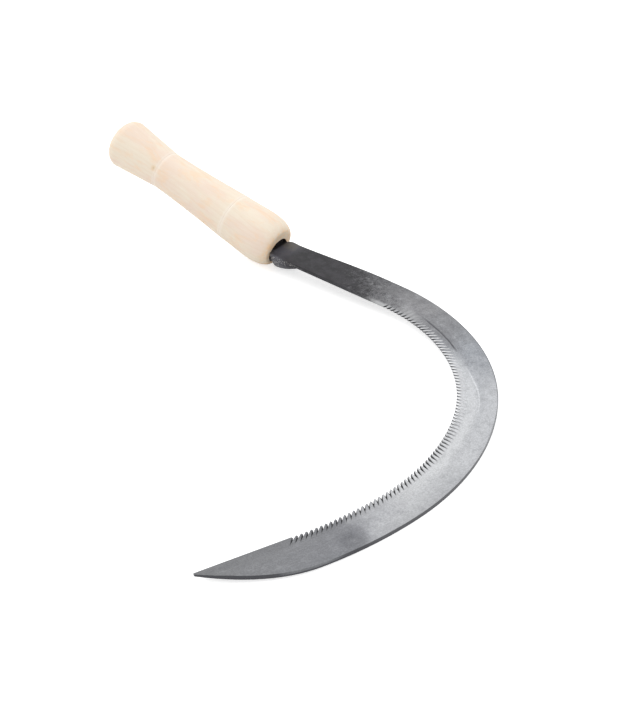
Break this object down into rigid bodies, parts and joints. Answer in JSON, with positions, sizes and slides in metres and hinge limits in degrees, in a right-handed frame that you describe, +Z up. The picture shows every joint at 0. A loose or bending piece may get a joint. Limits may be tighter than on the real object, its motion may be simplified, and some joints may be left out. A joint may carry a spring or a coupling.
{
  "type": "sickle",
  "caption": "Serrated hand sickle: one curved forged blade with saw teeth along its ground inner edge, its tang driven into a turned wooden handle, for reaping grass and grain.",
  "frame": {"origin": "Middle of the base of the object's box, on the table it rests on", "axes": "X runs along the handle from its butt towards the blade, Y runs across from the blade's tip to the handle's side, Z is up from the table"},
  "size_m": [0.342, 0.281, 0.0647],
  "materials": {
    "forged_steel": "forge-dark at the shank, ground matt bright along the toothed edge",
    "turned_wood": "turned and sanded, bare"
  },
  "bodies": {
    "root": {"blade": "forged_steel", "handle": "turned_wood"}
  },
  "joints": []
}
